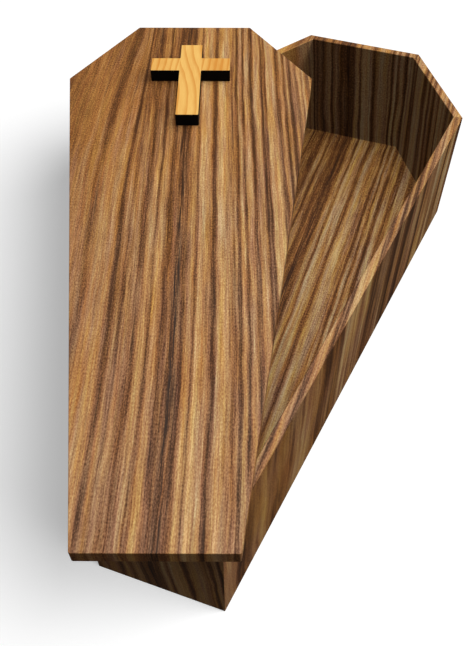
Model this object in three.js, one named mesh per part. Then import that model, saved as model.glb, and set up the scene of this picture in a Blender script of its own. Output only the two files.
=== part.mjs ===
// A six-sided wooden coffin. Its flat lid lies askew on the rim, with a cross fixed to it near the head.
// Millimetres, +Z up. The box's long axis is Y, with the foot at -Y and the head at +Y.
// The origin is the middle of the box's underside.

import * as THREE from 'three';

// The plan that the box and the lid share: full widths, and the shoulders' distance from the head end.
const FOOT_WIDTH = 322;
const SHOULDER_WIDTH = 768;
const HEAD_WIDTH = 378;
const SHOULDER_TO_HEAD = 311;

// The box: six mitred wall boards standing around a bottom board, all flush underneath.
const BOX_LENGTH = 1842;
const BOX_HEIGHT = 384;
const WALL_THICKNESS = 26;
const BOTTOM_THICKNESS = 18;

// The lid: one board that passes each end of the box when it is closed.
const LID_END_OVERHANG = 14;
const LID_THICKNESS = 38;

// How the lid lies: turned about the vertical, with the middle of its foot end to the right of the box's
// foot end and beyond it.
const LID_TURN_DEG = 19.3;
const LID_FOOT_RIGHT = 56;
const LID_FOOT_BEYOND = 77;

// The cross: one piece with its upright along the lid.
const CROSS_HEIGHT = 380;
const CROSS_SPAN = 248;
const CROSS_THICKNESS = 38;
const UPRIGHT_WIDTH = 68;
const BAR_WIDTH = 70;
const UPRIGHT_BELOW_BAR = 232;
const CROSS_FROM_LID_FOOT = 1312;

// The eased edges of the lid and the cross, and the clearance between pieces that touch.
const LID_EASING = 3;
const CROSS_EASING = 2;
const EASING_STEPS = 2;
const CLEARANCE = 0.3;

// Colours of the two woods.
const STRIPED_HARDWOOD = { color: 0x93683f, roughness: 0.5, metalness: 0 };
const PALE_PINE = { color: 0xe3b56c, roughness: 0.45, metalness: 0 };

// The coffin's plan, anticlockwise from the left foot corner and centred on its length.
function coffinPlan(length) {
  const end = length / 2;
  const shoulder = end - SHOULDER_TO_HEAD;
  return [
    new THREE.Vector2(-FOOT_WIDTH / 2, -end),
    new THREE.Vector2(FOOT_WIDTH / 2, -end),
    new THREE.Vector2(SHOULDER_WIDTH / 2, shoulder),
    new THREE.Vector2(HEAD_WIDTH / 2, end),
    new THREE.Vector2(-HEAD_WIDTH / 2, end),
    new THREE.Vector2(-SHOULDER_WIDTH / 2, shoulder),
  ];
}

// The direction from one plan corner to the next, and its inward normal.
function along(from, to) {
  return to.clone().sub(from).normalize();
}

function inward(direction) {
  return new THREE.Vector2(-direction.y, direction.x);
}

// The plan with every edge moved inwards. Each corner slides along the bisector of its two edges.
function insetPlan(plan, distance) {
  return plan.map((corner, i) => {
    const before = inward(along(plan.at(i - 1), corner));
    const after = inward(along(corner, plan[(i + 1) % plan.length]));
    const bisector = before.clone().add(after).normalize();
    return corner.clone().addScaledVector(bisector, distance / bisector.dot(before));
  });
}

// A board of the given plan, its underside at height z, with its top and bottom edges eased.
function makeBoard(name, plan, thickness, z, wood, easing = 0) {
  const geometry = new THREE.ExtrudeGeometry(new THREE.Shape(plan), {
    depth: thickness - 2 * easing,
    bevelEnabled: easing > 0,
    bevelThickness: easing,
    bevelSize: easing,
    bevelOffset: -easing,
    bevelSegments: EASING_STEPS,
  });
  const board = new THREE.Mesh(geometry, new THREE.MeshStandardMaterial(wood));
  board.name = name;
  board.position.z = z + easing;
  return board;
}

// One wall board between two neighbouring corners, mitred at both ends and drawn back from each mitre.
function makeWall(name, outer, inner, i) {
  const next = (i + 1) % outer.length;
  const draw = along(outer[i], outer[next]).multiplyScalar(CLEARANCE * 2 / 3);
  const plan = [
    outer[i].clone().add(draw),
    outer[next].clone().sub(draw),
    inner[next].clone().sub(draw),
    inner[i].clone().add(draw),
  ];
  return makeBoard(name, plan, BOX_HEIGHT, 0, STRIPED_HARDWOOD);
}

function makeBox() {
  const box = new THREE.Group();
  const outer = coffinPlan(BOX_LENGTH);
  const inner = insetPlan(outer, WALL_THICKNESS);
  const walls = [
    'foot_board',
    'right_side_board',
    'right_shoulder_board',
    'head_board',
    'left_shoulder_board',
    'left_side_board',
  ];
  walls.forEach((name, i) => box.add(makeWall(name, outer, inner, i)));
  const floor = insetPlan(outer, WALL_THICKNESS + CLEARANCE);
  box.add(makeBoard('bottom_board', floor, BOTTOM_THICKNESS, 0, STRIPED_HARDWOOD));
  return box;
}

// The cross's outline: the right half from the foot up, then the left half mirrored and taken back down.
function crossPlan() {
  const upright = UPRIGHT_WIDTH / 2;
  const reach = CROSS_SPAN / 2;
  const barTop = UPRIGHT_BELOW_BAR + BAR_WIDTH;
  const right = [
    [upright, 0],
    [upright, UPRIGHT_BELOW_BAR],
    [reach, UPRIGHT_BELOW_BAR],
    [reach, barTop],
    [upright, barTop],
    [upright, CROSS_HEIGHT],
  ];
  const left = right.map(([x, y]) => [-x, y]).reverse();
  return [...right, ...left].map(([x, y]) => new THREE.Vector2(x, y));
}

// The lid with its cross, in a group whose origin is the middle of the lid's foot end.
function makeLid() {
  const lid = new THREE.Group();
  const length = BOX_LENGTH + 2 * LID_END_OVERHANG;
  const board = makeBoard('lid', coffinPlan(length), LID_THICKNESS, 0, STRIPED_HARDWOOD, LID_EASING);
  board.position.y = length / 2;
  const cross = makeBoard(
    'cross', crossPlan(), CROSS_THICKNESS, LID_THICKNESS + CLEARANCE, PALE_PINE, CROSS_EASING);
  cross.position.y = CROSS_FROM_LID_FOOT;
  lid.add(board, cross);
  lid.position.set(LID_FOOT_RIGHT, -BOX_LENGTH / 2 - LID_FOOT_BEYOND, BOX_HEIGHT + CLEARANCE);
  lid.rotation.z = THREE.MathUtils.degToRad(LID_TURN_DEG);
  return lid;
}

const coffin = new THREE.Group();
coffin.add(makeBox(), makeLid());

export default coffin;
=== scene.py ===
"""Finishes a six-sided wooden coffin: eased hardwood boards, a loose lid with a pine cross, and a studio.

Lengths are metres in the coffin's own frame. Y runs along the box from the foot to the head, Z is up, and
the origin is the middle of the box's underside.
"""

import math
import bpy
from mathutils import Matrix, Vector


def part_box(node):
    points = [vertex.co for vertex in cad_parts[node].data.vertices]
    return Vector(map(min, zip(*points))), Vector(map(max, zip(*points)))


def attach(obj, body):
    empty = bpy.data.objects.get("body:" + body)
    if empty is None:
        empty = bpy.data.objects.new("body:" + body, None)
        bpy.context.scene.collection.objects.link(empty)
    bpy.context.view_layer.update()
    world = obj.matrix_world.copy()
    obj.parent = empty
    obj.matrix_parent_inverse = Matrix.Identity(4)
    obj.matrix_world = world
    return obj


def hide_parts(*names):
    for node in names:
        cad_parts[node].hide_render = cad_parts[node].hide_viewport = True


bl_info = {
    "name": "Wooden Coffin",
    "version": (1, 0, 0),
    "blender": (4, 5, 0),
    "location": "View3D > Sidebar > Coffin",
    "description": "Builds the boards, the lid and the cross of a wooden coffin, and a studio to show it in",
    "category": "Add Mesh",
}

from types import SimpleNamespace

import bpy
import numpy as np
from bpy.props import FloatProperty, FloatVectorProperty, PointerProperty
from bpy.types import Operator, Panel, PropertyGroup

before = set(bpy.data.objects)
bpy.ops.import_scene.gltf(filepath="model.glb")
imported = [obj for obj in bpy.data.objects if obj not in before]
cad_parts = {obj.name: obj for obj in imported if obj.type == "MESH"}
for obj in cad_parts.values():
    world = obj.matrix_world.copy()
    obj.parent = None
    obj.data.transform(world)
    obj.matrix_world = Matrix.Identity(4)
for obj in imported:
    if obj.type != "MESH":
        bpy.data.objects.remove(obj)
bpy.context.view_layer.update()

BODY = "root"
WALLS = (
    "foot_board", "right_side_board", "right_shoulder_board", "head_board", "left_shoulder_board",
    "left_side_board")
WHITE = (1.0, 1.0, 1.0, 1.0)
FLOOR_HEIGHT = -0.0005

# Steps of each rounded edge, and of each rounded corner of a plan.
EASING_STEPS = 4
CORNER_STEPS = 4

# The hardwood's stripes and the broad bands under them: the place across the board from its middle and the
# reach to either side, both in millimetres, and how much of the tone is taken away. The two pale threads add
# to it instead. Between them the tone is light, and rises by so much a metre from left to right.
STRIPES = (
    (-400, 200, 0.34), (-236, 22, 0.46), (-155, 14, 0.50), (-130, 9, 0.22), (-120, 50, 0.14),
    (-92, 16, 0.34), (-61, 9, 0.48), (-30, 13, 0.30), (-8, 46, 0.36), (-4, 9, 0.22), (14, 14, 0.34),
    (41, 8, 0.42), (51, 9, -0.16), (88, 13, 0.59), (110, 11, -0.12), (138, 24, 0.22), (139, 5, 0.16),
    (152, 9, 0.60), (171, 8, 0.60), (196, 12, 0.72), (228, 10, 0.70), (239, 7, 0.62), (279, 14, 0.60),
    (301, 9, 0.58), (320, 10, 0.56), (325, 45, 0.24), (341, 8, 0.36), (357, 5, 0.30), (372, 13, 0.55),
    (389, 8, 0.55),
)
LIGHT_TONE = 0.78
LIGHT_RISE = 0.3
MILLIMETRES = 1000

# The colours of the hardwood from its darkest tone to its palest, and how far along them a tone of 1 is.
SHADES = ("stripe_dark", "stripe_brown", "stripe_middle", "stripe_tan", "stripe_light", "stripe_pale")
TONE_SCALE = 0.8

# The tone that the stripes vary about, and how much lower it is on upright faces: painted shade on the walls.
MIDDLE_TONE = 0.6
UPRIGHT_SHADE = 0.06

# How much each noise changes the tone, first everywhere and then further where the bottom board is coarsest.
# The pepper has a share at the head and one at the foot.
PATCH_SHARE = 1.5
FIBRE_SHARE = 0.3
THREAD_SHARE = 1.35
PEPPER_SHARES = (1.655, 1.1)
MOTTLE_SHARE = 0.25
COARSE_THREADS = 0.8
COARSE_PEPPER = 1.7
COARSE_MOTTLE = 0.4

# How much noise the two casts have, with more inside the box, and where plain wood is from golden to mauve.
GREY_SHARE = 2.8
GREY_SHARE_INSIDE = 1.4
BLUSH_SHARE = 2.5
PLAIN_GREY = 0.187

# The heart streak's place across the board, and how far to either side it is seen at all and at its darkest.
HEART_MIDDLE = -0.003
HEART_REACH = 0.011
HEART_CORE = 0.003

# How dark the pores are, and how strongly the relief of the oiled wood shows.
PORE_STAIN = 0.5
OILED_BUMP = 0.35

# The length of the figure, and the gap over the rim in which the figure of the box gives way to the lid's.
FIGURE_LENGTH = 1.85
RIM_GAP = 0.0003

# The noises of the woods: waves to the metre across, along and up, and how many finer layers each has. Those
# of the first group follow the figure. Those of the second follow the map of each face.
GRAINS = {
    "sway": (7.0, 1.3, 5.0, 2.0),
    "wiggle": (40.0, 9.0, 9.0, 2.0),
    "patches": (24.0, 2.2, 1.0, 2.0),
    "streaks": (60.0, 2.0, 1.5, 4.0),
    "threads": (300.0, 7.0, 2.0, 3.0),
    "hairs": (300.0, 6.0, 6.0, 3.0),
    "greys": (70.0, 4.0, 4.0, 4.0),
    "blushes": (120.0, 4.0, 4.0, 3.0),
    "pine_waves": (14.0, 5.0, 0.0, 2.0),
    "pine_glow": (24.0, 6.0, 0.0, 2.0),

    "pepper": (330.0, 170.0, 0.0, 2.0),
    "mottle": (110.0, 22.0, 0.0, 2.0),
    "fibres": (850.0, 38.0, 0.0, 2.0),
    "pores": (1300.0, 42.0, 0.0, 1.0),
    "pine_fibres": (700.0, 26.0, 0.0, 2.0),
    "edge_fibres": (700.0, 40.0, 0.0, 2.0),
}
GRAIN_ROUGHNESS = 0.55

# How far from its middle line the arms of the cross start, how much paler its black is where worn, and the
# relief of its fibres.
ARM_START = 0.0345
WORN_BLACK = 2.5
PINE_BUMP = 0.2
PINE_DEPTH = 0.0003

# How much the two finishes shine.
OIL_SHEEN = 0.08
VARNISH_SHEEN = 0.1

# Sockets of a Mix node for colours: the two that are mixed, and the result.
MIX_START = 6
MIX_END = 7
MIX_RESULT = 2

# The studio's lamps: name, degrees round from the right towards the head, degrees above the floor, strength,
# degrees that it looks wide from the coffin, and whether it lights the floor or the coffin.
LAMPS = (
    ("top_lamp", 0, 90, 1.80, 40, "coffin"),
    ("back_lamp", 70, 48, 1.75, 40, "coffin"),
    ("right_lamp", 22, 38, 1.60, 22, "coffin"),
    ("floor_lamp", 5, 50, 3.05, 52, "floor"),
)
SENSOR_SIDE = 36.0


class CoffinSizes(PropertyGroup):
    """How the edges of the boards are finished."""

    wall_easing: FloatProperty(
        name="Wall easing", description="Radius of the rounded long edges of the wall boards",
        default=0.002, min=0.0, unit="LENGTH")
    joint_easing: FloatProperty(
        name="Joint easing", description="How far the wall boards are drawn in at the top of each mitre",
        default=0.0002, min=0.0, unit="LENGTH")
    bottom_easing: FloatProperty(
        name="Bottom easing", description="Radius of the rounded edges of the bottom board",
        default=0.0006, min=0.0, unit="LENGTH")
    lid_easing: FloatProperty(
        name="Lid easing", description="Radius of the rounded edges of the lid",
        default=0.0015, min=0.0, unit="LENGTH")
    lid_corner: FloatProperty(
        name="Lid corner", description="Radius of the lid's corners in plan, more than its easing",
        default=0.0045, min=0.0, unit="LENGTH")
    cross_easing: FloatProperty(
        name="Cross easing", description="Radius of the rounded edges of the cross",
        default=0.0015, min=0.0, unit="LENGTH")
    cross_corner: FloatProperty(
        name="Cross corner", description="Radius of the cross's corners in plan, more than its easing",
        default=0.003, min=0.0, unit="LENGTH")
    wall_lean: FloatProperty(
        name="Figure lean", description="How far the stripes lean on walls across the box, per metre",
        default=0.09)


class CoffinWoods(PropertyGroup):
    """Colours and figure of the two woods."""

    stripe_dark: FloatVectorProperty(
        name="Dark stripe", description="Darkest stripes of the hardwood",
        default=(0.0510, 0.0215, 0.0080), min=0.0, max=1.0, subtype="COLOR")
    stripe_brown: FloatVectorProperty(
        name="Brown stripe", description="Brown between the dark and the middle tone",
        default=(0.122, 0.0525, 0.0212), min=0.0, max=1.0, subtype="COLOR")
    stripe_middle: FloatVectorProperty(
        name="Middle tone", description="Middle tone of the hardwood",
        default=(0.222, 0.104, 0.0432), min=0.0, max=1.0, subtype="COLOR")
    stripe_tan: FloatVectorProperty(
        name="Tan stripe", description="Tan between the middle tone and the lightest stripes",
        default=(0.322, 0.170, 0.0690), min=0.0, max=1.0, subtype="COLOR")
    stripe_light: FloatVectorProperty(
        name="Light stripe", description="Lightest stripes of the hardwood",
        default=(0.412, 0.248, 0.101), min=0.0, max=1.0, subtype="COLOR")
    stripe_pale: FloatVectorProperty(
        name="Pale stripe", description="Palest threads of the hardwood",
        default=(0.540, 0.368, 0.164), min=0.0, max=1.0, subtype="COLOR")
    golden_cast: FloatVectorProperty(
        name="Golden cast", description="What the most golden of the hardwood is multiplied by",
        default=(1.064, 0.904, 0.55), min=0.0, max=2.0, subtype="COLOR")
    mauve_cast: FloatVectorProperty(
        name="Mauve cast", description="What the greyest of the hardwood is multiplied by",
        default=(0.99, 1.045, 1.30), min=0.0, max=2.0, subtype="COLOR")
    rosy_cast: FloatVectorProperty(
        name="Rosy cast", description="What the rosiest threads of the hardwood are multiplied by",
        default=(1.042, 0.958, 1.0), min=0.0, max=2.0, subtype="COLOR")
    olive_cast: FloatVectorProperty(
        name="Olive cast", description="What the greenest threads of the hardwood are multiplied by",
        default=(0.97, 1.036, 0.98), min=0.0, max=2.0, subtype="COLOR")
    heart_brown: FloatVectorProperty(
        name="Heart streak at head", description="Broken dark streaks of the hardwood near the head",
        default=(0.034, 0.0130, 0.0046), min=0.0, max=1.0, subtype="COLOR")
    heart_black: FloatVectorProperty(
        name="Heart streak at foot", description="Broken dark streaks of the hardwood near the foot",
        default=(0.032, 0.0190, 0.0132), min=0.0, max=1.0, subtype="COLOR")
    stripe_sway: FloatProperty(
        name="Stripe sway", description="How far the hardwood's stripes wander from straight",
        default=0.014, min=0.0, unit="LENGTH")
    stripe_wiggle: FloatProperty(
        name="Stripe wiggle", description="Size of the short waves in the hardwood's stripes",
        default=0.006, min=0.0, unit="LENGTH")
    pore_depth: FloatProperty(
        name="Pore depth", description="Depth of the hardwood's pores and fibres",
        default=0.0005, min=0.0, unit="LENGTH")
    pine_light: FloatVectorProperty(
        name="Pine", description="Pale early wood of the pine",
        default=(0.680, 0.410, 0.111), min=0.0, max=1.0, subtype="COLOR")
    pine_line: FloatVectorProperty(
        name="Pine line", description="Darker late wood of the pine",
        default=(0.520, 0.216, 0.033), min=0.0, max=1.0, subtype="COLOR")
    pine_ring: FloatProperty(
        name="Pine ring", description="Width of one year's growth on the face of the pine",
        default=0.026, min=0.001, unit="LENGTH")
    edge_black: FloatVectorProperty(
        name="Blackened edge", description="Stain on the edges of the cross",
        default=(0.0015, 0.0015, 0.0015), min=0.0, max=1.0, subtype="COLOR")


class CoffinStudio(PropertyGroup):
    """Floor, light and camera."""

    floor_colour: FloatVectorProperty(
        name="Floor", description="How much of the lamps' light the floor gives back",
        default=(0.88, 0.88, 0.88), min=0.0, max=1.0, subtype="COLOR")
    floor_glow: FloatProperty(
        name="Floor glow", description="The floor's own light, which keeps the shadows on it pale",
        default=0.34, min=0.0)
    floor_size: FloatProperty(
        name="Floor size", description="Length of the floor's sides",
        default=40.0, min=1.0, unit="LENGTH")
    room_light: FloatProperty(
        name="Room light", description="Even light from all around",
        default=0.10, min=0.0)
    camera_place: FloatVectorProperty(
        name="Camera", description="Place of the camera",
        default=(0.3873, -1.4767, 1.7691), subtype="TRANSLATION", unit="LENGTH")
    camera_turn: FloatProperty(
        name="Camera turn", description="Turn of the camera about the vertical, from looking along the box",
        default=math.radians(19.53), subtype="ANGLE")
    camera_tilt: FloatProperty(
        name="Camera tilt", description="How far below the horizon the camera looks",
        default=math.radians(50.36), subtype="ANGLE")
    camera_lens: FloatProperty(
        name="Lens", description="Focal length on a sensor whose long side is 36 mm",
        default=42.06, min=1.0, unit="CAMERA")


class Shade:
    """An output socket in a material's nodes. Arithmetic on it adds Math nodes."""

    def __init__(self, tree, socket=None):
        self.tree = tree
        self.socket = socket

    def node(self, kind, settings=None, sockets=None, output=0):
        """Adds a node, sets it up, gives its sockets values or links, and returns one of its outputs."""
        made = self.tree.nodes.new(kind)
        for name, value in (settings or {}).items():
            if name == "stops":
                set_stops(made.color_ramp, value)
            else:
                setattr(made, name, value)
        for name, value in (sockets or {}).items():
            if isinstance(value, Shade):
                self.tree.links.new(value.socket, made.inputs[name])
            else:
                made.inputs[name].default_value = value
        return Shade(self.tree, made.outputs[output] if made.outputs else None)

    def pick(self, output):
        """Another output of the same node."""
        return Shade(self.tree, self.socket.node.outputs[output])

    def math(self, operation, *values):
        return self.node("ShaderNodeMath", {"operation": operation}, dict(enumerate(values)))

    def __add__(self, other):
        return self.math("ADD", self, other)

    def __radd__(self, other):
        return self.math("ADD", other, self)

    def __sub__(self, other):
        return self.math("SUBTRACT", self, other)

    def __rsub__(self, other):
        return self.math("SUBTRACT", other, self)

    def __mul__(self, other):
        return self.math("MULTIPLY", self, other)

    def __rmul__(self, other):
        return self.math("MULTIPLY", other, self)

    def __truediv__(self, other):
        return self.math("DIVIDE", self, other)

    def __abs__(self):
        return self.math("ABSOLUTE", self)

    def step(self, start, end, low=0.0, high=1.0):
        """Goes smoothly from low to high as this value goes from start to end."""
        settings = {"interpolation_type": "SMOOTHSTEP"}
        sockets = {"Value": self, "From Min": start, "From Max": end, "To Min": low, "To Max": high}
        return self.node("ShaderNodeMapRange", settings, sockets)

    def scaled(self, x, y, z):
        """This vector with each of its parts multiplied."""
        return self.node("ShaderNodeVectorMath", {"operation": "MULTIPLY"}, {0: self, 1: (x, y, z)})

    def grain(self, name):
        """The named noise about 0, drawn out along this vector's parts."""
        *waves, detail = GRAINS[name]
        sockets = {
            "Vector": self.scaled(*waves), "Scale": 1.0, "Detail": detail, "Roughness": GRAIN_ROUGHNESS}
        return self.node("ShaderNodeTexNoise", None, sockets) - 0.5

    def ramp(self, stops):
        """The colour that the stops give for this value."""
        return self.node("ShaderNodeValToRGB", {"stops": stops}, {0: self})

    def blend(self, start, end):
        """Goes from one colour to another as this value goes from 0 to 1."""
        sockets = {0: self, MIX_START: start, MIX_END: end}
        return self.node("ShaderNodeMix", {"data_type": "RGBA"}, sockets, MIX_RESULT)

    def tinted(self, cast):
        """This colour multiplied by another."""
        settings = {"data_type": "RGBA", "blend_type": "MULTIPLY"}
        return self.node("ShaderNodeMix", settings, {0: 1.0, MIX_START: self, MIX_END: cast}, MIX_RESULT)

    def bump(self, strength, depth):
        """The normal of a surface that this value raises."""
        return self.node("ShaderNodeBump", None, {"Strength": strength, "Distance": depth, "Height": self})


def set_stops(ramp, stops):
    """Gives a colour ramp its stops, each a position and a colour."""
    while len(ramp.elements) < len(stops):
        ramp.elements.new(1.0)
    for element, (position, colour) in zip(ramp.elements, stops):
        element.position = position
        element.color = colour


def opaque(colour):
    return (*colour, 1.0)


def new_material(name):
    """An empty material and the start of its nodes."""
    material = bpy.data.materials.new(name)
    material.use_nodes = True
    material.node_tree.nodes.clear()
    return material, Shade(material.node_tree)


def finish_material(start, sockets):
    """Closes a material with one surface."""
    surface = start.node("ShaderNodeBsdfPrincipled", None, sockets)
    start.node("ShaderNodeOutputMaterial", None, {"Surface": surface})


def stripe_tone(across):
    """The hardwood's tone at a place across the board: light, less every dark stripe that reaches there."""
    spot = across * MILLIMETRES
    tone = LIGHT_TONE + across * LIGHT_RISE
    for middle, reach, depth in STRIPES:
        tone = tone - abs(spot - middle).step(reach, 0.0, 0.0, depth)
    return tone


def read_place(start):
    """Where a point of the hardwood lies in its figure, and how its face lies.

    Across, along and height are metres, and footward goes from 0 at the head to 1 at the foot. The others are
    shares. Flat faces look up or down, upright ones to a side, endways ones along the box and rightward ones
    to the right. Inside is the top of the bottom board, and outer the outside of the right walls.
    """
    figure = start.node("ShaderNodeAttribute", {"attribute_name": "figure"}, output="Vector")
    across = figure.node("ShaderNodeSeparateXYZ", None, {0: figure})
    along, height = across.pick("Y"), across.pick("Z")
    normal = start.node("ShaderNodeNewGeometry", output="Normal")
    facing = normal.node("ShaderNodeSeparateXYZ", None, {0: normal})
    flat = abs(facing.pick("Z"))
    rightward = facing.step(0.0, 0.5)
    return SimpleNamespace(
        figure=figure, across=across, along=along, height=height, footward=1 - along / FIGURE_LENGTH,
        flat=flat, upright=1 - flat, endways=abs(facing.pick("Y")), rightward=rightward,
        inside=flat * height.step(0.2, 0.05), outer=rightward * across.step(0.15, 0.19))


def head_to_foot(place, at_head, at_foot):
    """A number that goes evenly from one value at the head to another at the foot."""
    return at_head + place.footward * (at_foot - at_head)


def bend_stripes(place, woods):
    """The place across the board at which a point finds its stripe.

    The stripes drift one way from the foot and back towards the head, where the left ones lean in. They sway
    and wiggle as well: freely on flat faces, most on the walls across the box and hardly on its sides.
    """
    drift = place.along.step(-0.1, 0.4, 0.0, 0.007) - place.along.step(0.45, 1.6, 0.0, 0.015)
    lean = place.along.step(0.95, 2.7, 0.0, 0.12) * place.across.step(-0.11, -0.165)
    sway = place.figure.grain("sway") * woods.stripe_sway
    wiggle = place.figure.grain("wiggle") * woods.stripe_wiggle
    freedom = 0.1 + place.flat * 0.9 + place.endways * 1.4
    return place.across - drift - lean + (sway + wiggle) * freedom


def stripe_strength(place, path):
    """How far the stripes go from the middle tone, where 1 is their own depth.

    It changes in patches. It falls a little towards the foot, but rises inside the box. On the outside of the
    right walls it is highest at the shoulder and falls steeply towards the foot.
    """
    everywhere = head_to_foot(place, 1.12, 1.02) + path.grain("patches") * PATCH_SHARE
    inside = place.inside * head_to_foot(place, -0.14, 0.26)
    outer = place.outer * head_to_foot(place, 0.75, -0.65)
    return (everywhere + inside) * (1 + outer)


def paler_left_and_painted_light(place):
    """How much paler the left of the box is: lighter wood, and painted light inside its walls. The lid keeps
    its tone.
    """
    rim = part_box("foot_board")[1].z
    # Paler at the far left of the box: partly lighter wood, partly painted light on the walls there.
    left = place.across.step(-0.165, -0.205, 0.0, 0.42)
    # Painted light: inner faces of the left walls that turn to the right are paler, as if lit from the right.
    painted_light_inner_faces = place.rightward * place.across.step(-0.12, -0.18, 0.0, 0.27)
    return (left + painted_light_inner_faces) * place.height.step(rim + RIM_GAP, rim)


def darker_parts(place):
    """How much darker the wood is left of its middle near the head, and along the outside of the right walls.

    Those walls are dark at the shoulder, paler beside it, dark about the middle and plain at the foot.
    """
    near_head = place.along.step(1.1, 1.5, 0.0, 0.19)
    left_of_middle = place.across.step(0.035, -0.02) * place.across.step(-0.28, -0.20)
    corner = place.footward.step(0.225, 0.175, 0.0, 0.16)
    middle = place.footward.step(0.28, 0.44, -0.05, 0.10) - place.footward.step(0.60, 0.85, 0.0, 0.10)
    return near_head * left_of_middle + place.outer * (corner + middle)


def hardwood_tone(place, path, fibre, stripes, paler_and_painted_light, threads, fibres):
    """The hardwood's tone: its stripes about a middle tone, with finer lines and specks over them.

    The far left of the figure is calmer. The bottom board is coarser, most of all near the head.
    """
    calm = place.across.step(-0.10, -0.21, 1.0, 0.7)
    strength = calm * stripe_strength(place, path)
    # Painted shade: upright faces get a lower middle tone than flat ones.
    middle = MIDDLE_TONE - place.upright * UPRIGHT_SHADE
    # paler_and_painted_light adds lighter wood and painted light at the left of the box.
    tone = middle + (stripes - middle) * strength + paler_and_painted_light - darker_parts(place)
    # Painted shade on the bottom board: darker at the head and lighter towards the foot, in place of the
    # shade of the walls and lid.
    tone = tone + place.inside * head_to_foot(place, -0.03, 0.16)

    coarse = place.inside * head_to_foot(place, 1.0, -0.35)
    thread_share = THREAD_SHARE + coarse * COARSE_THREADS - place.endways * 0.7
    thread_share = thread_share + place.upright * 0.3 + place.outer * head_to_foot(place, 1.6, 0.3)
    pepper_share = head_to_foot(place, *PEPPER_SHARES) + coarse * COARSE_PEPPER
    mottle_share = MOTTLE_SHARE + coarse * COARSE_MOTTLE
    lines = calm * (path.grain("streaks") + threads * thread_share)
    specks = fibre.grain("pepper") * pepper_share + fibre.grain("mottle") * mottle_share
    return tone + lines + specks + fibres * FIBRE_SHARE


def hardwood_casts(place, path, stripes, paler_and_painted_light, woods):
    """The two colours that the hardwood is multiplied by: golden to mauve, and rosy to olive.

    Flat faces get greyer towards the foot and the right. There the dark stripes are the greyest, but at the
    head and inside the box they are the most golden. Upright faces get greyer towards the head and in their
    light stripes. Dark stripes inside the box are rosy. The walls at the left, where light is painted on, are
    painted more golden and rosy with it.
    """
    dark_stripes = head_to_foot(place, -1.0, 0.9) - place.inside * 1.4
    flat_grey = head_to_foot(place, -0.15, 0.69) + place.across * head_to_foot(place, 0.9, 0.1)
    flat_grey = flat_grey + (0.62 - stripes) * dark_stripes + place.inside * head_to_foot(place, -0.25, 0.0)
    # The painted light on the left walls also makes them more golden here and rosier below.
    upright_grey = head_to_foot(place, 0.5, 0.1) + (stripes - 0.7) * 0.9 - paler_and_painted_light * 0.6
    grey = upright_grey + place.flat * (flat_grey - upright_grey)
    grey = grey + path.grain("greys") * (GREY_SHARE + place.inside * GREY_SHARE_INSIDE)
    grey = PLAIN_GREY + grey * (1 - PLAIN_GREY)
    green = 0.5 + place.inside * (stripes - 0.68) * 0.9 - place.upright * paler_and_painted_light * 0.7
    green = green + path.grain("blushes") * BLUSH_SHARE
    return (
        grey.blend(opaque(woods.golden_cast), opaque(woods.mauve_cast)),
        green.blend(opaque(woods.rosy_cast), opaque(woods.olive_cast)))


def heart_streaks(path, bent, stripes):
    """How much of the dark heart shows: a broken streak near the middle, and hairs in the dark stripes."""
    core = abs(bent - HEART_MIDDLE).step(HEART_REACH, HEART_CORE)
    hairs = path.grain("hairs")
    streak = core * hairs.step(-0.04, 0.08, 0.0, 0.93)
    return streak + hairs.step(0.04, 0.14) * stripes.step(0.75, 0.2, 0.05, 0.45)


def oiled_hardwood(woods):
    """Hardwood with straight dark stripes, fine fibres and open pores.

    The stripes follow the figure, which runs along the length of the box or the lid. Fibres and pores follow
    the map of each face.
    """
    material, start = new_material("oiled_hardwood")
    fibre = start.node("ShaderNodeUVMap", {"uv_map": "fibre"})
    place = read_place(start)
    bent = bend_stripes(place, woods)
    path = start.node("ShaderNodeCombineXYZ", None, {"X": bent, "Y": place.along, "Z": place.height})

    stripes = stripe_tone(bent)
    # Lighter wood and painted light at the left of the box.
    paler_and_painted_light = paler_left_and_painted_light(place)
    threads = path.grain("threads")
    fibres = fibre.grain("fibres")
    tone = hardwood_tone(place, path, fibre, stripes, paler_and_painted_light, threads, fibres)
    last = len(SHADES) - 1
    stops = [(i / last, opaque(getattr(woods, shade))) for i, shade in enumerate(SHADES)]
    colour = (tone * TONE_SCALE).ramp(stops)
    for cast in hardwood_casts(place, path, stripes, paler_and_painted_light, woods):
        colour = colour.tinted(cast)

    footmost = place.along.step(1.2, 0.6) * place.flat
    heart_colour = footmost.blend(opaque(woods.heart_brown), opaque(woods.heart_black))
    colour = heart_streaks(path, bent, stripes).blend(colour, heart_colour)
    pores = fibre.grain("pores").step(0.13, 0.22)
    colour = (pores * PORE_STAIN).blend(colour, opaque(woods.stripe_dark))
    finish_material(start, {
        "Base Color": colour,
        "Roughness": 0.6 + pores * 0.15 - stripes * 0.06,
        "Normal": (fibres * 0.5 + threads * 0.3 - pores * 0.6).bump(OILED_BUMP, woods.pore_depth),
        "Specular IOR Level": OIL_SHEEN})
    return material


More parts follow.
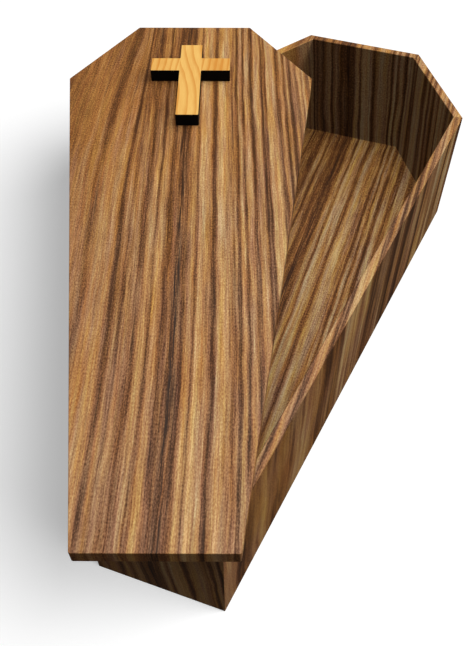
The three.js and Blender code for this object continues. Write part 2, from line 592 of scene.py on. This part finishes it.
def varnished_pine(woods):
    """Pale pine with soft growth lines.

    They sweep across the upright of the cross, and stand closer and almost straight on its arms. The late
    wood of each year darkens slowly and ends sharply.
    """
    material, start = new_material("varnished_pine")
    figure = start.node("ShaderNodeAttribute", {"attribute_name": "figure"}, output="Vector")
    fibre = start.node("ShaderNodeUVMap", {"uv_map": "fibre"})
    across = figure.node("ShaderNodeSeparateXYZ", None, {0: figure})
    along = across.pick("Y")

    arms = across.math("GREATER_THAN", abs(across), ARM_START)
    upright_years = (across + along.step(0.10, 0.38, 0.0, 0.045)) / woods.pine_ring
    arm_years = (across - along * 0.08) / woods.pine_ring * 1.3
    years = upright_years * (1 - arms) + arm_years * arms + figure.grain("pine_waves") * 0.8
    season = years.math("FRACT", years)
    late = season.step(0.40, 0.92) * season.step(1.0, 0.93)
    fibres = fibre.grain("pine_fibres")
    warmth = across.step(0.02, 0.06, 0.0, 0.3) + arms * 0.1
    share = 0.2 + late * 0.62 + figure.grain("pine_glow") + fibres * 0.7 + warmth
    finish_material(start, {
        "Base Color": share.ramp([(0.0, opaque(woods.pine_light)), (1.0, opaque(woods.pine_line))]),
        "Roughness": 0.5 + late * 0.1,
        "Normal": (fibres * 0.6 + late * 0.3).bump(PINE_BUMP, PINE_DEPTH),
        "Specular IOR Level": VARNISH_SHEEN})
    return material


def blackened_edge(woods):
    """The same pine stained black, with its fibres just showing."""
    material, start = new_material("blackened_edge")
    fibres = start.node("ShaderNodeUVMap", {"uv_map": "fibre"}).grain("edge_fibres")
    worn = [WORN_BLACK * part for part in woods.edge_black]
    finish_material(start, {
        "Base Color": fibres.step(-0.1, 0.25).blend(opaque(woods.edge_black), opaque(worn)),
        "Roughness": 0.7 + fibres * 0.2,
        "Normal": fibres.bump(PINE_BUMP, PINE_DEPTH),
        "Specular IOR Level": VARNISH_SHEEN})
    return material


def wood(name, make):
    """The named material, made the first time it is asked for."""
    return bpy.data.materials.get(name) or make(bpy.context.scene.coffin_woods)


def read_board(node):
    """The corners of a node's plan, anticlockwise, with its lowest and highest z.

    The plan is taken at the level where the board is widest. Its corners are sorted by their angle about
    their mean, from which all of a plan's edges can be seen.
    """
    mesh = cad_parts[node].data
    points = np.empty(3 * len(mesh.vertices), dtype=np.float32)
    mesh.vertices.foreach_get("co", points)
    points = points.reshape(-1, 3).astype(float)
    levels = np.round(points[:, 2], 4)
    widest = max(np.unique(levels), key=lambda level: np.ptp(points[levels == level], axis=0).sum())
    corners = points[levels == widest, :2]
    corners = corners[np.unique(np.round(corners, 4), axis=0, return_index=True)[1]]
    outwards = corners - corners.mean(axis=0)
    order = np.argsort(np.arctan2(outwards[:, 1], outwards[:, 0]))
    return corners[order], points[:, 2].min(), points[:, 2].max()


def edges_of(corners):
    """The vector of each edge from its corner to the next, its length and its outward normal."""
    edges = np.roll(corners, -1, axis=0) - corners
    lengths = np.hypot(edges[:, 0], edges[:, 1])
    normals = np.column_stack((edges[:, 1], -edges[:, 0])) / lengths[:, None]
    return edges, lengths, normals


def draw_in(corners, distance):
    """The plan with edge i moved inwards by distance[..., i].

    A corner between edges with normals m and n, whose dot product is k, moves by -(u m + v n), where
    u = (p - k q) / (1 - k k), v = (q - k p) / (1 - k k), and p and q are the distances of the two edges.
    """
    after = edges_of(corners)[2]
    before = np.roll(after, 1, axis=0)
    k = (before * after).sum(axis=1)
    p = np.roll(distance, 1, axis=-1)
    u = (p - k * distance) / (1 - k * k)
    v = (distance - k * p) / (1 - k * k)
    return corners - u[..., None] * before - v[..., None] * after


def round_corners(corners, radius):
    """The plan with an arc at each corner, and whether each new edge belongs to an arc.

    The arc's centre is the corner moved in by the radius, or out at an inner corner. Its points lie a radius
    from there, on normals that turn evenly from one edge's to the next edge's.
    """
    after = edges_of(corners)[2]
    before = np.roll(after, 1, axis=0)
    side = np.sign(before[:, 0] * after[:, 1] - before[:, 1] * after[:, 0])[:, None]
    k = (before * after).sum(axis=1)[:, None]
    centres = corners - side * radius * (before + after) / (1 + k)
    first = np.arctan2(before[:, 1], before[:, 0])[:, None]
    turn = side * np.arccos(np.clip(k, -1, 1))
    angles = first + turn * np.linspace(0, 1, CORNER_STEPS + 1)
    spokes = np.stack((np.cos(angles), np.sin(angles)), axis=-1)
    points = centres[:, None] + (side * radius)[:, None] * spokes
    arcs = np.tile(np.arange(CORNER_STEPS + 1) < CORNER_STEPS, len(corners))
    return points.reshape(-1, 2), arcs


def board_rings(corners, low, high, easing):
    """Outlines of a board from its underside to its top, as an array of ring, corner and x, y, z.

    At angle t of the quarter circle that rounds an edge of radius r, the outline is drawn in by r (1 - sin t)
    and is r (1 - cos t) from the face. Edges may have different radii, and the largest sets the height.
    """
    t = np.linspace(0, np.pi / 2, EASING_STEPS + 1)
    outlines = draw_in(corners, (1 - np.sin(t))[:, None] * easing)
    rise = (1 - np.cos(t)) * easing.max()
    plans = np.concatenate((outlines, outlines[::-1]))
    heights = np.concatenate((low + rise, high - rise[::-1]))
    return np.dstack((plans, np.repeat(heights[:, None], len(corners), axis=1)))


def in_figure(points, middle, length):
    """Points as their places across and along the wood's figure, and their heights."""
    across = np.array((length[1], -length[0]))
    flat = points[..., :2] - middle
    return np.stack((flat @ across, flat @ length, points[..., 2]), axis=-1)


def add_board(name, rings, arcs, figure, lengthwise, materials, edge_material=0):
    """A closed board from its rings: quads between neighbouring rings, and one face at each end.

    Each point keeps its place in the wood's figure. The map of a face has the fibres along its second axis:
    in the plan on the flat faces, along an edge that runs lengthwise, and upright on the other sides. The
    edge material goes from the underside to half way round the top edge. Boards give no light to each other.
    """
    count, sides = rings.shape[:2]
    index = np.arange(count * sides).reshape(count, sides)
    beyond = np.roll(index, -1, axis=1)
    quads = np.stack((index[:-1], beyond[:-1], beyond[1:], index[1:]), axis=-1)
    faces = quads.reshape(-1, 4).tolist() + [index[0, ::-1].tolist(), index[-1].tolist()]
    mesh = bpy.data.meshes.new(name)
    mesh.from_pydata(rings.reshape(-1, 3).tolist(), [], faces)

    places = mesh.attributes.new("figure", "FLOAT_VECTOR", "POINT")
    places.data.foreach_set("vector", figure.astype(np.float32).ravel())

    lengths = edges_of(rings[EASING_STEPS, :, :2])[1]
    path = np.concatenate(((0.0,), np.cumsum(lengths)))
    around = np.stack((path[:-1], path[1:], path[1:], path[:-1]), axis=-1)
    around = np.broadcast_to(around, quads.shape)
    upwards = rings.reshape(-1, 3)[quads, 2]
    swap = lengthwise[None, :, None]
    side_map = np.stack((np.where(swap, upwards, around), np.where(swap, around, upwards)), axis=-1)
    flat = figure[..., :2]
    maps = np.concatenate((side_map.reshape(-1, 2), flat[0, ::-1], flat[-1]))
    mesh.uv_layers.new(name="fibre").data.foreach_set("uv", maps.astype(np.float32).ravel())

    smooth = np.ones(quads.shape[:2], dtype=bool)
    smooth[EASING_STEPS] = arcs
    mesh.polygons.foreach_set("use_smooth", np.append(smooth.ravel(), (False, False)))
    kind = np.zeros(quads.shape[:2], dtype=np.int32)
    half_way_round = EASING_STEPS + 1 + EASING_STEPS // 2
    kind[:half_way_round] = edge_material
    mesh.polygons.foreach_set("material_index", np.append(kind.ravel(), (0, 0)).astype(np.int32))
    for material in materials:
        mesh.materials.append(material)
    mesh.update()
    mesh.validate()

    board = bpy.data.objects.new(name, mesh)
    board.visible_diffuse = False
    bpy.context.scene.collection.objects.link(board)
    return board


def stand_for(board, node):
    """Makes a finished board take the place of its plain solid."""
    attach(board, BODY)
    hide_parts(node)


def box_figure():
    """The middle of the box's foot, and the direction of its length."""
    return np.array((0.0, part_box("foot_board")[0].y)), np.array((0.0, 1.0))


def add_wall(node):
    """A mitred wall board. Its long edges are rounded, and its mitres are drawn in by a hair.

    Its figure is that of the boards that lie flat, seen from above, so its stripes stand upright. They lean a
    little on walls across the box.
    """
    sizes = bpy.context.scene.coffin_sizes
    corners, low, high = read_board(node)
    edges, lengths, _ = edges_of(corners)
    easing = np.where(lengths > lengths.mean(), sizes.wall_easing, sizes.joint_easing)
    rings = board_rings(corners, low, high, easing)
    figure = in_figure(rings, *box_figure())
    across, along = np.abs(edges[np.argmax(lengths)])
    if across > 0.5 * along:
        figure[..., 0] += sizes.wall_lean * figure[..., 2]
    straight = np.zeros(len(corners), dtype=bool)
    hardwood = wood("oiled_hardwood", oiled_hardwood)
    board = add_board(f"{node}_wood", rings, straight, figure, straight, [hardwood])
    stand_for(board, node)


def lid_figure():
    """The middle of the lid's foot edge, which is its shortest, and the direction of the lid's length."""
    corners = read_board("lid")[0]
    edges, lengths, normals = edges_of(corners)
    foot = np.argmin(lengths)
    return corners[foot] + edges[foot] / 2, -normals[foot]


def rounded_board(node, corner, easing):
    """The rings, arcs, figure and lengthwise edges of a board with rounded corners, laid as the lid is.

    An edge is lengthwise if it is within 60 degrees of the lid's length.
    """
    corners, low, high = read_board(node)
    plan, arcs = round_corners(corners, corner)
    rings = board_rings(plan, low, high, np.full(len(plan), easing))
    middle, length = lid_figure()
    edges, lengths, _ = edges_of(plan)
    lengthwise = np.abs(edges @ length) > 0.5 * lengths
    return rings, arcs, in_figure(rings, middle, length), lengthwise


class COFFIN_OT_bottom_board(Operator):
    """Add the bottom board, which lies between the walls"""

    bl_idname = "coffin.bottom_board"
    bl_label = "Bottom Board"

    def execute(self, context):
        corners, low, high = read_board("bottom_board")
        easing = np.full(len(corners), context.scene.coffin_sizes.bottom_easing)
        rings = board_rings(corners, low, high, easing)
        figure = in_figure(rings, *box_figure())
        straight = np.zeros(len(corners), dtype=bool)
        hardwood = wood("oiled_hardwood", oiled_hardwood)
        board = add_board("bottom_board_wood", rings, straight, figure, ~straight, [hardwood])
        stand_for(board, "bottom_board")
        return {"FINISHED"}


class COFFIN_OT_walls(Operator):
    """Add the six wall boards of the box"""

    bl_idname = "coffin.walls"
    bl_label = "Walls"

    def execute(self, context):
        for node in WALLS:
            add_wall(node)
        return {"FINISHED"}


class COFFIN_OT_lid(Operator):
    """Add the lid, one flat board that lies loose on the rim"""

    bl_idname = "coffin.lid"
    bl_label = "Lid"

    def execute(self, context):
        sizes = context.scene.coffin_sizes
        rings, arcs, figure, lengthwise = rounded_board("lid", sizes.lid_corner, sizes.lid_easing)
        hardwood = wood("oiled_hardwood", oiled_hardwood)
        board = add_board("lid_wood", rings, arcs, figure, lengthwise, [hardwood])
        stand_for(board, "lid")
        return {"FINISHED"}


class COFFIN_OT_cross(Operator):
    """Add the pine cross with its blackened edges"""

    bl_idname = "coffin.cross"
    bl_label = "Cross"

    def execute(self, context):
        sizes = context.scene.coffin_sizes
        rings, arcs, figure, lengthwise = rounded_board("cross", sizes.cross_corner, sizes.cross_easing)
        figure[..., 1] -= figure[..., 1].min()
        woods = [wood("varnished_pine", varnished_pine), wood("blackened_edge", blackened_edge)]
        board = add_board("cross_pine", rings, arcs, figure, lengthwise, woods, edge_material=1)
        stand_for(board, "cross")
        return {"FINISHED"}


def add_floor(studio):
    """A pale square floor just under the box. It glows a little, so that shadows on it stay pale."""
    reach = studio.floor_size / 2
    plan = [(-reach, -reach), (reach, -reach), (reach, reach), (-reach, reach)]
    mesh = bpy.data.meshes.new("studio_floor")
    mesh.from_pydata([(x, y, FLOOR_HEIGHT) for x, y in plan], [], [(0, 1, 2, 3)])
    material, start = new_material("studio_floor")
    finish_material(start, {
        "Base Color": opaque(studio.floor_colour), "Roughness": 0.9, "Specular IOR Level": 0.0,
        "Emission Color": WHITE, "Emission Strength": studio.floor_glow})
    mesh.materials.append(material)
    floor = bpy.data.objects.new("studio_floor", mesh)
    floor.visible_diffuse = False
    floor.visible_glossy = False
    bpy.context.scene.collection.objects.link(floor)


def light_group(name, state):
    """A group that has only the floor in it, for lamps that light it alone or everything but it."""
    group = bpy.data.collections.new(name)
    group.objects.link(bpy.data.objects["studio_floor"])
    group.collection_objects[0].light_linking.link_state = state
    return group


def add_light(studio):
    """Wide soft lamps, and a dim even light from all around that looks white to the camera."""
    scene = bpy.context.scene
    groups = {"floor": light_group("floor_only", "INCLUDE"), "coffin": light_group("not_floor", "EXCLUDE")}
    for name, turn, height, strength, spread, lit in LAMPS:
        lamp = bpy.data.lights.new(name, "SUN")
        lamp.energy = strength
        lamp.angle = math.radians(spread)
        holder = bpy.data.objects.new(name, lamp)
        holder.rotation_euler = (0.0, math.radians(90 - height), math.radians(turn))
        holder.light_linking.receiver_collection = groups[lit]
        scene.collection.objects.link(holder)

    world = bpy.data.worlds.new("studio_room")
    world.use_nodes = True
    world.node_tree.nodes.clear()
    start = Shade(world.node_tree)
    seen = start.node("ShaderNodeLightPath", output="Is Camera Ray")
    dim = start.node("ShaderNodeBackground", None, {"Color": WHITE, "Strength": studio.room_light})
    white = start.node("ShaderNodeBackground", None, {"Color": WHITE, "Strength": 1.0})
    room = start.node("ShaderNodeMixShader", None, {0: seen, 1: dim, 2: white})
    start.node("ShaderNodeOutputWorld", None, {"Surface": room})
    scene.world = world
    scene.view_settings.view_transform = "Standard"


def add_camera(studio):
    """The camera, looking down on the coffin from beyond its foot."""
    camera = bpy.data.cameras.new("studio_camera")
    camera.sensor_width = SENSOR_SIDE
    camera.lens = studio.camera_lens
    holder = bpy.data.objects.new("studio_camera", camera)
    holder.location = studio.camera_place
    holder.rotation_euler = (math.pi / 2 - studio.camera_tilt, 0.0, studio.camera_turn)
    bpy.context.scene.collection.objects.link(holder)
    bpy.context.scene.camera = holder


class COFFIN_OT_studio(Operator):
    """Add the floor, the light and the camera"""

    bl_idname = "coffin.studio"
    bl_label = "Studio"

    def execute(self, context):
        studio = context.scene.coffin_studio
        add_floor(studio)
        add_light(studio)
        add_camera(studio)
        return {"FINISHED"}


class COFFIN_PT_sidebar(Panel):
    """Lists the coffin's sizes, woods and studio with the steps that build them"""

    bl_idname = "COFFIN_PT_sidebar"
    bl_label = "Wooden Coffin"
    bl_space_type = "VIEW_3D"
    bl_region_type = "UI"
    bl_category = "Coffin"

    def draw(self, context):
        scene = context.scene
        groups = (
            ("Sizes", scene.coffin_sizes), ("Woods", scene.coffin_woods), ("Studio", scene.coffin_studio))
        for title, group in groups:
            box = self.layout.box()
            box.label(text=title)
            for name in group.__annotations__:
                box.prop(group, name)
        for operator in OPERATORS:
            self.layout.operator(operator.bl_idname)


GROUPS = {"coffin_sizes": CoffinSizes, "coffin_woods": CoffinWoods, "coffin_studio": CoffinStudio}
OPERATORS = (
    COFFIN_OT_bottom_board, COFFIN_OT_walls, COFFIN_OT_lid, COFFIN_OT_cross, COFFIN_OT_studio)


def register():
    for group in GROUPS.values():
        bpy.utils.register_class(group)
    for operator in OPERATORS:
        bpy.utils.register_class(operator)
    bpy.utils.register_class(COFFIN_PT_sidebar)
    for name, group in GROUPS.items():
        setattr(bpy.types.Scene, name, PointerProperty(type=group))


def unregister():
    for name in GROUPS:
        delattr(bpy.types.Scene, name)
    bpy.utils.unregister_class(COFFIN_PT_sidebar)
    for operator in reversed(OPERATORS):
        bpy.utils.unregister_class(operator)
    for group in reversed(GROUPS.values()):
        bpy.utils.unregister_class(group)


def main():
    """Builds the coffin and its studio."""
    register()
    bpy.ops.coffin.bottom_board()
    bpy.ops.coffin.walls()
    bpy.ops.coffin.lid()
    bpy.ops.coffin.cross()
    bpy.ops.coffin.studio()


if __name__ == "__main__":
    main()
